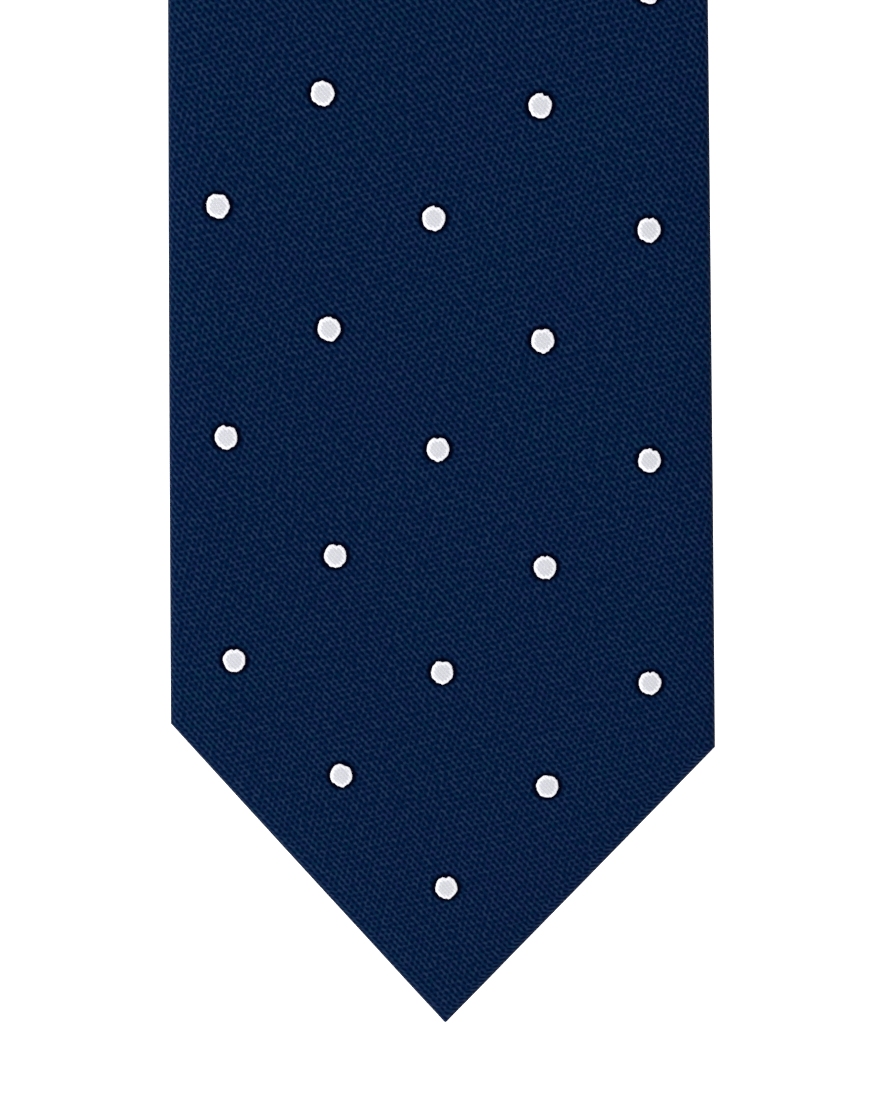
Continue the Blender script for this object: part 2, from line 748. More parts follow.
class FoldedSilk:
    """The silk as it lies folded: across the show face, round each edge and back to the sewn middle.

    u is the distance on the cloth from the middle of the show face, to the right.
    """

    lap = 3.0 * MM
    lap_depth = 0.56 * MM
    lap_ends = (1.0 * MM, 9.0 * MM)
    closing = 14.0 * MM
    fold = 0.24 * MM
    least_fold = 0.02 * MM
    fold_start = 1.5 * MM
    under_fold = 0.3
    turned_in = 3.0 * MM
    pucker = 0.09 * MM
    pucker_step = 12.0 * MM
    valley = 0.22 * MM
    valley_half = 5.0 * MM
    soft_drop = 0.42 * MM
    soft_reach = 2.6 * MM
    soft_full = 4.0
    thin_below = 3.0
    roll_share = 0.8
    turned_share = 0.6
    out_of_sight = 1.0

    def __init__(self, lay: Lay, outline: Outline, ends: tuple[PointEnd, PointEnd]) -> None:
        """Keeps what the folded shape depends on."""
        self.lay = lay
        self.outline = outline
        self.ends = ends
        self.half_depth = (lay.outer - lay.inner) / 2.0
        self.middle = (lay.outer + lay.inner) / 2.0

    def closed(self, v: Array) -> Array:
        """1 where the flaps are sewn together, falling to 0 at each opening."""
        share = np.ones_like(v)
        for end in self.ends:
            share = share * smooth_step(end.meeting, end.meeting + self.closing, end.above(v))
        return share

    def corners(self) -> Array:
        """Where along the tie its outline and its openings turn a corner."""
        front = self.ends[0]
        found = [front.tip + front.rise + lean for lean in self.outline.lean]
        for end in self.ends:
            found += [end.tip + end.way * end.rise, end.tip + end.way * end.meeting]
            found.append(end.tip + end.way * end.corner_rise)
        return np.array(found)

    def inner_edge(self, side: Array, v: Array) -> Array:
        """Where a flap ends, from the middle: less than 0 where the right one laps under the left."""
        edge = np.zeros_like(v)
        for end in self.ends:
            edge = np.maximum(edge, np.where(end.above(v) < end.meeting, end.opening(v), 0.0))
        return edge - np.where(side > 0, self.lap * self.closed(v), 0.0)

    def lengths(self, side: Array, v: Array) -> dict[str, Array]:
        """Sizes of the folded section.

        Args:
            side: -1 for the left and 1 for the right.
            v: Along the tie.

        Returns:
            flat, the half width that is flat; rx, how far the edge rolls past it; deep, half the thickness;
            arc, the cloth that goes round the edge; inner, where the flap ends; end, the cloth out to there;
            fold, the radius of the flap's turned edge; turned, the cloth turned in past it; slant, how much
            wider the edge is cut than square.
        """
        width = self.outline.half_width(side, v)
        deep = self.half_depth * np.sqrt(np.clip(width / (self.thin_below * self.half_depth), 0.0, 1.0))
        rx = np.minimum(self.half_depth * self.outline.slant(side, v), self.roll_share * width)
        flat = width - rx
        arc = math.pi * deep
        inner = np.minimum(self.inner_edge(side, v), flat)
        closed = self.closed(v)
        open_fold = self.fold * smooth_step(0.0, self.fold_start, inner)
        sewn_fold = np.where(side > 0, self.fold * self.under_fold, self.fold)
        fold = self.least_fold + closed * sewn_fold + (1.0 - closed) * open_fold
        turned = np.minimum(self.turned_in, self.turned_share * np.maximum(flat - inner, 0.0))
        return {"flat": flat, "rx": rx, "deep": deep, "arc": arc, "inner": inner,
                "end": flat + arc + flat - inner, "fold": fold, "turned": turned,
                "slant": rx / self.half_depth}

    def near_point(self, end: PointEnd, side: Array, v: Array) -> Array:
        """Whether the silk at v folds along the slanting edge of that point."""
        return np.abs(self.outline.point_slope(end, side)) * end.above(v) < end.half

    def flat_cloth(self, u: Array, v: Array) -> tuple[Array, Array]:
        """Where a place on the folded silk lies on the cloth laid flat.

        Silk turned in along a slanting edge is the mirror image of its cloth in that edge.

        Args:
            u: Across the folded silk.
            v: Along the tie.

        Returns:
            The places across and along the flat cloth.
        """
        side = np.where(u < 0, -1.0, 1.0)
        s = self.lengths(side, v)
        a = np.abs(u)
        rolled = np.clip(a - s["flat"], 0.0, s["arc"])
        back = np.maximum(a - s["flat"] - s["arc"], 0.0)
        slope = np.zeros_like(a)
        for end in self.ends:
            slope = np.where(self.near_point(end, side, v), self.outline.point_slope(end, side), slope)
        square = 1.0 / np.hypot(1.0, slope)
        out = rolled + 2.0 * back * square
        return side * (np.minimum(a, s["flat"]) - back + square * out), v - slope * square * out

    def fold_in(self, u: Array, v: Array) -> tuple[Array, Array]:
        """Where a patch of flat cloth lies on the folded silk: the reverse of flat_cloth.

        Args:
            u: Across the flat cloth, the patch's middle first.
            v: Along the flat cloth.

        Returns:
            The places across and along the folded silk. A patch whose middle is lost in the mitre where the
            two folds meet is put out of sight, beyond the edge of the cloth.
        """
        side = np.where(u < 0, -1.0, 1.0)
        for end in self.ends:
            slope = self.outline.point_slope(end, side)
            square = 1.0 / np.hypot(1.0, slope)
            half_way = np.full_like(u, end.tip + end.way * end.rise / 2.0)
            s = self.lengths(side, half_way)
            out = square * (np.abs(u) - s["flat"] - slope * (v - half_way))
            rolled = np.clip(out, 0.0, s["arc"])
            back = np.maximum(out - s["arc"], 0.0)
            along = v + slope * square * (rolled + 2.0 * back)
            if self.near_point(end, side, along).flat[0]:
                flat = self.lengths(side, along)["flat"]
                return side * np.where(out > 0.0, flat + rolled + back / square, np.abs(u)), along
            if self.near_point(end, side, v).flat[0]:
                return side * self.out_of_sight, v
        return u, v

    def surface(self, u: Array, v: Array, lift: Array | float = 0.0) -> Array:
        """The folded silk's outer face.

        Args:
            u: Across the cloth.
            v: Along the tie.
            lift: Height above the face.

        Returns:
            One point for each place on the cloth.
        """
        u, v, lift = np.broadcast_arrays(u, v, lift)
        side = np.where(u < 0, -1.0, 1.0)
        a = np.abs(u)
        s = self.lengths(side, v)
        turn = np.clip((a - s["flat"]) / np.maximum(s["arc"], 1e-6), 0.0, 1.0) * math.pi
        back = np.clip(a - s["flat"] - s["arc"], 0.0, s["flat"] - s["inner"])
        beyond = np.maximum(a - s["end"], 0.0)
        turned = np.minimum(beyond / (math.pi * s["fold"]), 1.0) * math.pi
        returned = np.maximum(beyond - math.pi * s["fold"], 0.0)
        x = np.minimum(a, s["flat"]) + (s["rx"] + lift) * np.sin(turn) - back
        x = x - s["fold"] * np.sin(turned) + returned
        q = self.middle + (s["deep"] + lift) * np.cos(turn) + s["fold"] * (1.0 - np.cos(turned))
        from_edge = s["flat"] - np.minimum(x, s["flat"])
        near_edge = np.exp(-((from_edge / (self.soft_reach * s["slant"])) ** 2))
        shallow = np.minimum(s["flat"] / (self.soft_full * self.soft_reach), 1.0)
        q = q - self.soft_drop * shallow * near_edge * (1.0 + np.cos(turn)) / 2.0
        behind = (turn >= math.pi) * self.closed(v)
        under = np.where(side > 0, self.lap_depth * (1.0 - smooth_step(*self.lap_ends, x)), 0.0)
        pull = np.exp(-((x / self.valley_half) ** 2))
        pucker = self.pucker * np.cos(v * 2.0 * math.pi / self.pucker_step)
        q = q + behind * (under + pull * (self.valley + pucker))
        return self.lay.place(side * x, v, q)


# ---------------------------------------------------------------- mesh making


def add_mesh(name: str, points: Array, faces: list[list[int]], cloth: Array,
             finish: Finish) -> bpy.types.Object:
    """Makes a mesh object with smooth faces and flat cloth coordinates.

    Args:
        name: The piece's name.
        points: One row of x, y and z for each vertex.
        faces: The vertex numbers of each face.
        cloth: One row of cloth coordinates for each vertex.
        finish: What it is made of.

    Returns:
        The new object.
    """
    mesh = bpy.data.meshes.new(name)
    mesh.from_pydata(points.tolist(), [], faces)
    mesh.polygons.foreach_set("use_smooth", [True] * len(mesh.polygons))
    corners = np.empty(len(mesh.loops), dtype=np.int32)
    mesh.loops.foreach_get("vertex_index", corners)
    layer = mesh.uv_layers.new(name=CLOTH_MAP)
    layer.data.foreach_set("uv", cloth[corners].astype(np.float32).ravel())
    mesh.materials.append(finish.make())
    obj = bpy.data.objects.new(name, mesh)
    bpy.context.collection.objects.link(obj)
    return obj


def grid_faces(rows: int, columns: int, ring: bool = False) -> list[list[int]]:
    """Vertex numbers of a grid's faces.

    Args:
        rows: Vertices along it.
        columns: Vertices across it.
        ring: Whether the last column joins the first.

    Returns:
        Four numbers for each face.
    """
    row = np.arange(rows - 1)[:, None]
    column = np.arange(columns if ring else columns - 1)[None, :]
    following = (column + 1) % columns
    corners = [row * columns + column, row * columns + following,
               (row + 1) * columns + following, (row + 1) * columns + column]
    return np.stack(np.broadcast_arrays(*corners), axis=-1).reshape(-1, 4).tolist()


def apply_modifier(obj: bpy.types.Object, kind: str, **settings: object) -> None:
    """Adds a modifier and applies it at once.

    Args:
        obj: The piece.
        kind: The modifier's type.
        settings: Its properties.
    """
    bpy.ops.object.select_all(action="DESELECT")
    bpy.context.view_layer.objects.active = obj
    obj.select_set(True)
    modifier = obj.modifiers.new(kind.title(), kind)
    for key, value in settings.items():
        setattr(modifier, key, value)
    bpy.ops.object.modifier_apply(modifier=modifier.name)
    obj.select_set(False)


def edit_mesh(obj: bpy.types.Object, change: Callable[[bmesh.types.BMesh], None]) -> None:
    """Opens a piece's mesh, changes it and writes it back.

    Args:
        obj: The piece.
        change: What is done to the open mesh.
    """
    work = bmesh.new()
    work.from_mesh(obj.data)
    change(work)
    work.to_mesh(obj.data)
    work.free()


def weld(work: bmesh.types.BMesh) -> None:
    """Joins vertices that lie together, such as those at a point."""
    bmesh.ops.remove_doubles(work, verts=work.verts, dist=WELD_REACH)
    bmesh.ops.dissolve_degenerate(work, edges=work.edges, dist=WELD_REACH)


def face_outwards(work: bmesh.types.BMesh) -> None:
    """Turns all faces outwards."""
    bmesh.ops.recalc_face_normals(work, faces=work.faces)


def close_ends(work: bmesh.types.BMesh) -> None:
    """Fills a tube's open ends and turns its faces outwards."""
    bmesh.ops.holes_fill(work, edges=[edge for edge in work.edges if edge.is_boundary])
    face_outwards(work)


def thicken(obj: bpy.types.Object, thickness: float, offset: float = -1.0) -> None:
    """Gives a cloth sheet its thickness, inwards where offset is -1 and both ways where it is 0."""
    apply_modifier(obj, "SOLIDIFY", thickness=thickness, offset=offset, use_quality_normals=True)


def dress(obj: bpy.types.Object, slot: Slot, *nodes: str) -> None:
    """Names the CAD nodes that a piece stands for and its material slot, and logs it."""
    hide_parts(*nodes)
    log.info("%s: %d faces", obj.name, len(obj.data.polygons))


class Placing:
    """Where pieces ride: on one body, or bending between two across the joint that joins them."""

    def __init__(self, upper: Body, lower: Body | None = None, joint: str = "", reach: float = 0.0) -> None:
        """Keeps the bodies.

        Args:
            upper: The body above, or the only one.
            lower: The body below the joint.
            joint: The joint between them.
            reach: How far above and below the joint the cloth bends.
        """
        self.upper = upper
        self.lower = lower
        self.joint = joint
        self.reach = reach

    def put(self, obj: bpy.types.Object) -> None:
        """Makes the piece follow."""
        if self.lower is None:
            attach(obj, self.upper.value)
            return
        height = joint_height(self.joint)
        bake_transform(obj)


# ---------------------------------------------------------------- silk


@dataclass(frozen=True)
class Edge:
    """An end of a length of silk: where it crosses the middle, how it slants, and whether it is a seam."""

    v: float
    slant: float = 0.0
    seam: bool = False

    def at(self, u: Array) -> Array:
        """Where the edge is at cloth distance u."""
        return self.v + self.slant * u


class SpotMaker:
    """Makes woven spots: low mounds of pale floats whose rims dip into the silk.

    Rings are shares of the radius, and lifts are their heights above the silk in millimetres. The
    notch and the tooth each have a direction in degrees, how far it may be astray, a height and a width. The
    teeth and the lobes each have a count round the spot and a height. These heights are shares of the radius.
    """

    rings = (0.0, 0.35, 0.68, 0.90, 1.0, 1.05)
    lifts = (0.17, 0.17, 0.16, 0.12, 0.06, -0.08)
    spokes = 36
    first_seed = 5000
    uneven = 0.025
    notch = (80.0, 14.0, -0.14, 0.16)
    tooth = (280.0, 12.0, 0.06, 0.22)
    teeth = (12.0, 0.032)
    lobes = (5.0, 0.02)
    any_phase = 6.0

    def __init__(self, lattice: SpotLattice) -> None:
        """Keeps the lattice, which gives the spots' size."""
        self.lattice = lattice

    def make(self, name: str, places: list[tuple[float, float]],
             surface: Callable[[Array, Array, Array], Array], finish: Finish) -> bpy.types.Object:
        """Makes spots on a surface.

        Args:
            name: The new object's name.
            places: The cloth coordinates of each spot's middle.
            surface: Turns cloth coordinates and a height above the cloth into points.
            finish: The spots' finish.

        Returns:
            All the spots as one object.
        """
        turn = np.arange(self.spokes) * 2.0 * math.pi / self.spokes
        rings, lifts = np.array(self.rings), np.array(self.lifts) * MM
        lift = np.concatenate([lifts[:1], np.repeat(lifts[1:], self.spokes)])
        reach = np.concatenate([rings[:1], np.repeat(rings[1:], self.spokes)])
        points, cloth, faces = [], [], []
        for number, (u0, v0) in enumerate(places):
            chance = np.random.default_rng(round(v0 / MM) + self.first_seed)
            r = rings[1:, None] * self.lattice.radius * self.ragged(turn, chance)[None, :]
            u = np.concatenate([[u0], (u0 + r * np.cos(turn)).ravel()])
            v = np.concatenate([[v0], (v0 + r * self.lattice.tall * np.sin(turn)).ravel()])
            points.append(surface(u, v, lift))
            cloth.append(np.stack([u, v], axis=-1))
            faces += [[corner + number * len(lift) for corner in face] for face in self.faces()]
        obj = add_mesh(name, np.concatenate(points), faces, np.concatenate(cloth), finish)
        attribute = obj.data.attributes.new(SPOT_REACH, "FLOAT", "POINT")
        attribute.data.foreach_set("value", np.tile(reach, len(places)).astype(np.float32))
        edit_mesh(obj, weld)
        return obj

    def faces(self) -> list[list[int]]:
        """Faces of one spot: a fan at the middle and rings of quads round it."""
        faces = [[0, 1 + k, 1 + (k + 1) % self.spokes] for k in range(self.spokes)]
        for ring in range(len(self.rings) - 2):
            near, far = 1 + ring * self.spokes, 1 + (ring + 1) * self.spokes
            for k in range(self.spokes):
                following = (k + 1) % self.spokes
                faces.append([near + k, far + k, far + following, near + following])
        return faces

    def ragged(self, turn: Array, chance: np.random.Generator) -> Array:
        """A spot's outline: steps where the floats end, a notch near the top and a tooth near the bottom.

        Args:
            turn: The direction of each spoke.
            chance: Where the small differences come from.

        Returns:
            The reach of each spoke as a share of the radius.
        """
        reach = 1.0 + chance.uniform(-self.uneven, self.uneven, len(turn))
        for degrees, astray, height, width in (self.notch, self.tooth):
            middle = math.radians(degrees + chance.uniform(-astray, astray))
            reach = reach + height * np.exp(-(((turn - middle) / width) ** 2))
        count, height = self.teeth
        teeth = height * np.cos(count * turn + chance.uniform(0.0, self.any_phase)) * np.abs(np.sin(turn))
        count, height = self.lobes
        return reach + teeth + height * np.cos(count * turn + chance.uniform(0.0, self.any_phase))


@dataclass
class SilkLength:
    """One length of folded silk with its woven spots."""

    name: str
    silk: FoldedSilk
    low: Edge
    high: Edge
    placing: Placing
    node: str
    finishes: Finishes
    lattice: SpotLattice
    thickness: float = 0.25 * MM
    row_step: float = 2.2 * MM
    end_rows: tuple[float, ...] = (0.25 * MM, 0.5 * MM, 0.8 * MM, 1.2 * MM, 1.7 * MM)
    corner_rows: tuple[float, ...] = (-0.02 * MM, 0.0, 0.02 * MM)
    seam_depth: float = 0.45 * MM
    seam_reach: float = 1.1 * MM
    face_columns: int = 22
    roll_columns: int = 9
    back_columns: int = 17
    fold_columns: int = 7
    fold_share: float = 0.7
    tip_room: float = 1.2

    def columns(self) -> tuple[Array, Array, Array]:
        """The side, zone and share of each column, from the left flap round to the right one.

        Returns:
            Three arrays. The zones are 0 on the show face, 1 round the edge, 2 behind and 3 turned in.
        """
        zones = [np.linspace(0.0, 1.0, n, endpoint=False) for n in
                 (self.face_columns, self.roll_columns, self.back_columns)]
        zones.append(np.linspace(0.0, 1.0, self.fold_columns))
        zone = np.concatenate([np.full(len(part), k) for k, part in enumerate(zones)])
        share = np.concatenate(zones)
        side = np.concatenate([-np.ones(len(share) - 1), np.ones(len(share))])
        return side, np.concatenate([zone[:0:-1], zone]), np.concatenate([share[:0:-1], share])

    def distances(self, side: Array, zone: Array, share: Array, v: Array) -> Array:
        """Cloth distance from the middle of each column at v."""
        s = self.silk.lengths(side, v)
        folded = math.pi * s["fold"]
        beyond = (share - self.fold_share) / (1.0 - self.fold_share) * s["turned"]
        turned_in = np.where(share < self.fold_share, share / self.fold_share * folded, folded + beyond)
        choices = [share * s["flat"], s["flat"] + share * s["arc"],
                   s["flat"] + s["arc"] + share * (s["flat"] - s["inner"]), s["end"] + turned_in]
        return side * np.choose(np.broadcast_to(zone, v.shape), choices)

    def rows(self) -> Array:
        """Shares of the way from the low edge to the high one, closer together at the ends and corners."""
        length = self.high.v - self.low.v
        shares = np.linspace(0.0, 1.0, max(2, round(length / self.row_step)) + 1)
        near = np.array(self.end_rows) / length
        corners = np.array(self.corner_rows) + self.silk.corners()[:, None]
        corners = (corners - self.low.v).ravel() / length
        corners = corners[(corners > 0.0) & (corners < 1.0)]
        return np.unique(np.concatenate([shares, near, 1.0 - near, corners]))

    def sink(self, v: Array, low: Array, high: Array) -> Array:
        """How far the silk dips where it turns in to a seam."""
        depth = np.zeros_like(v)
        for edge, gap in ((self.low, v - low), (self.high, high - v)):
            if edge.seam:
                depth = depth + self.seam_depth * (1.0 - smooth_step(0.0, self.seam_reach, gap))
        return depth

    def cloth(self) -> bpy.types.Object:
        """Makes the folded silk."""
        side, zone, share = self.columns()
        between_seams = self.low.seam and self.high.seam
        narrow = (self.low.v + self.high.v) / 2.0 if between_seams else self.silk.lay.bend / 2.0
        along = self.distances(side, zone, share, np.full(side.shape, narrow))
        low, high = self.low.at(along), self.high.at(along)
        rows = self.rows()[:, None]
        v = low + (high - low) * rows
        side_grid = np.broadcast_to(side, v.shape)
        u = self.distances(side_grid, zone, share, v)
        points = self.silk.surface(u, v, -self.sink(v, low, high))
        cloth = np.stack(self.silk.flat_cloth(u, v), axis=-1).reshape(-1, 2)
        obj = add_mesh(self.name, points.reshape(-1, 3), grid_faces(*v.shape), cloth, self.finishes.silk)
        edit_mesh(obj, weld)
        thicken(obj, self.thickness)
        return obj

    def spot_place(self, u: Array, v: Array, lift: Array) -> Array:
        """The place of a spot's vertex, kept within the seams and within the flaps that show."""
        low, high = self.low.at(u), self.high.at(u)
        v = np.clip(v, low if self.low.seam else -np.inf, high if self.high.seam else np.inf)
        u, v = self.silk.fold_in(u, v)
        side = np.where(u < 0, -1.0, 1.0)
        s = self.silk.lengths(side, v)
        hidden = np.where(side > 0, self.silk.lap * self.silk.closed(v), 0.0)
        u = side * np.minimum(np.abs(u), s["end"] - hidden)
        return self.silk.surface(u, v, lift)

    def holds(self, u: float, v: float) -> bool:
        """Whether a spot at that place lies at least partly on this length."""
        room = self.lattice.radius
        low, high = float(self.low.at(np.array(u))), float(self.high.at(np.array(u)))
        if not low - room * self.low.seam < v < high + room * self.high.seam:
            return False
        folded, along = self.silk.fold_in(np.array([u]), np.array([v]))
        above_tips = min(float(end.above(along)[0]) for end in self.silk.ends)
        end = self.silk.lengths(np.sign(folded), along)["end"]
        return above_tips > self.tip_room * room and abs(folded[0]) < end[0] + room

    def build(self) -> None:
        """Makes the silk and its spots, and lets both follow."""
        cloth = self.cloth()
        dress(cloth, Slot.SILK, self.node)
        held = [place for place in self.lattice.places() if self.holds(*place)]
        spots = SpotMaker(self.lattice).make(self.name + "_spots", held, self.spot_place, self.finishes.spots)
        dress(spots, Slot.SILK)
        for obj in (cloth, spots):
            self.placing.put(obj)


# ---------------------------------------------------------------- inner cloth


@dataclass
class PlyLength:
    """A length of an inner cloth, such as the wool interlining or the tipping."""

    name: str
    silk: FoldedSilk
    v_low: float
    v_high: float
    depth: float
    thickness: float
    margin: float
    placing: Placing
    node: str
    finish: Finish
    slot: Slot
    row_step: float = 4.0 * MM
    half_columns: int = 9
    least_half: float = 0.15 * MM

    def half(self, side: Array, v: Array) -> Array:
        """Half width of the ply at v."""
        edge = self.silk.outline.half_width(side, v) - self.margin * self.silk.outline.slant(side, v)
        return np.maximum(edge, self.least_half)

    def bulge(self, x: Array, v: Array) -> Array:
        """How far the ply stands inwards of its plain depth."""
        return np.zeros(v.shape)

    def build(self) -> None:
        """Makes the ply."""
        share = np.linspace(-1.0, 1.0, 2 * self.half_columns + 1)
        count = max(2, round((self.v_high - self.v_low) / self.row_step))
        v = np.linspace(self.v_low, self.v_high, count + 1)[:, None] + 0.0 * share
        side = np.where(share < 0, -1.0, 1.0) + 0.0 * v
        x = share * self.half(side, v)
        points = self.silk.lay.place(x, v, self.depth - self.bulge(x, v))
        cloth = np.stack([x, v], axis=-1).reshape(-1, 2)
        obj = add_mesh(self.name, points.reshape(-1, 3), grid_faces(*v.shape), cloth, self.finish)
        thicken(obj, self.thickness, 0.0)
        dress(obj, self.slot, self.node)
        self.placing.put(obj)


@dataclass
class Tipping(PlyLength):
    """The lining behind a point, wide enough to run under the turned-in edges."""

    end: PointEnd | None = None
    tuck: float = 6.0 * MM
    puff: float = 0.34 * MM
    puff_reach: float = 12.0 * MM
    pucker: float = 0.05 * MM
    pucker_step: float = 6.0 * MM
    pucker_reach: float = 4.0 * MM
    drift: float = 0.08 * MM
    drift_wave: tuple[float, float] = (160.0, 90.0)
    drift_reach: float = 8.0 * MM

    def half(self, side: Array, v: Array) -> Array:
        """As wide as the opening and what runs under its edges, within the point."""
        edge = super().half(side, v)
        return np.minimum(edge, self.end.opening(v) + self.tuck)

    def bulge(self, x: Array, v: Array) -> Array:
        """The lining puffs out a little inside its stitches and puckers beside them."""
        inside = self.end.opening(v) - np.abs(x)
        along, across = self.drift_wave
        puff = self.puff * smooth_step(0.0, self.puff_reach, inside)
        pucker = self.pucker * np.cos(v * 2.0 * math.pi / self.pucker_step)
        pucker = pucker * np.exp(-((inside / self.pucker_reach) ** 2))
        drift = self.drift * np.sin(v * along + x * across) * smooth_step(0.0, self.drift_reach, inside)
        return np.where(inside > 0.0, puff + pucker + drift, 0.0)


# ---------------------------------------------------------------- stitches


@dataclass(frozen=True)
class Stitch:
    """One stitch on the inner face: its middle, its turn from lengthwise, its length and its height."""

    x: float
    v: float
    turn: float
    length: float
    height: float


@dataclass(frozen=True)
class StitchRow:
    """How a row is sewn: the distance between its stitches, their length and how far each stands off."""

    step: float
    length: float
    height: float


class StitchMaker:
    """Makes rows of stitches, each a copy of one modelled thread that dips into the cloth at both ends."""

    radius = 0.16 * MM
    sides = 8
    rings = 6
    least_draw = 0.04
    arch = 0.9
    slip = Stitch(0.5 * MM, 0.0, math.radians(16.0), 4.2 * MM, -FoldedSilk.valley - 0.04 * MM)
    row_slant = math.radians(20.0)

    def __init__(self, silk: FoldedSilk) -> None:
        """Models the thread once: a cylinder cut into rings, so that it can be drawn in and bent."""
        self.silk = silk
        bpy.ops.object.select_all(action="DESELECT")
        bpy.ops.mesh.primitive_cylinder_add(vertices=self.sides, radius=1.0, depth=1.0,
                                            end_fill_type="TRIFAN")
        thread = bpy.context.object
        bpy.ops.object.mode_set(mode="EDIT")
        for ring in range(1, self.rings):
            bpy.ops.mesh.select_all(action="SELECT")
            height = ring / self.rings - 0.5
            bpy.ops.mesh.bisect(plane_co=(0.0, 0.0, height), plane_no=(0.0, 0.0, 1.0))
        bpy.ops.object.mode_set(mode="OBJECT")
        self.points = np.array([vertex.co for vertex in thread.data.vertices])
        self.faces = [list(face.vertices) for face in thread.data.polygons]
        bpy.data.objects.remove(thread)

    def make(self, name: str, stitches: list[Stitch], finish: Finish) -> bpy.types.Object:
        """Copies the thread to each stitch.

        Args:
            name: The row's name.
            stitches: Where they are.
            finish: The thread's finish.

        Returns:
            The row as one object.
        """
        along = self.points[:, 2]
        draw = self.radius * np.sqrt(np.clip(1.0 - (2.0 * along) ** 4, self.least_draw, 1.0))
        arch = self.radius * self.arch * (1.0 - (2.0 * along) ** 2)
        across = self.points[:, 0] * draw
        around = np.arctan2(self.points[:, 1], self.points[:, 0]) * self.radius
        points, cloth, faces = [], [], []
        for number, stitch in enumerate(stitches):
            run = along * stitch.length
            rise = self.points[:, 1] * draw + stitch.height + arch
            cos, sin = math.cos(stitch.turn), math.sin(stitch.turn)
            x = stitch.x + across * cos + run * sin
            v = stitch.v - across * sin + run * cos
            points.append(self.silk.lay.place(x, v, self.silk.lay.inner - rise))
            cloth.append(np.stack([around, run], axis=-1))
            faces += [[corner + number * len(self.points) for corner in face] for face in self.faces]
        obj = add_mesh(name, np.concatenate(points), faces, np.concatenate(cloth), finish)
        edit_mesh(obj, face_outwards)
        return obj

    def slip_run(self, low: float, high: float) -> list[Stitch]:
        """Long slanting slip stitches beside the sewn middle."""
        step = FoldedSilk.pucker_step
        return [replace(self.slip, v=low + (k + 0.5) * step) for k in range(int((high - low) / step))]

    def line(self, start: tuple[float, float], stop: tuple[float, float], row: StitchRow) -> list[Stitch]:
        """Short stitches that cross a line.

        Args:
            start: The line's first x and v.
            stop: Its last.
            row: How it is sewn.

        Returns:
            The stitches.
        """
        run, rise = stop[0] - start[0], stop[1] - start[1]
        count = max(1, int(math.hypot(run, rise) / row.step))
        turn = math.atan2(-rise, run) + self.row_slant
        return [Stitch(start[0] + run * k / count, start[1] + rise * k / count, turn, row.length, row.height)
                for k in np.arange(0.5, count)]


# ---------------------------------------------------------------- the back's furniture


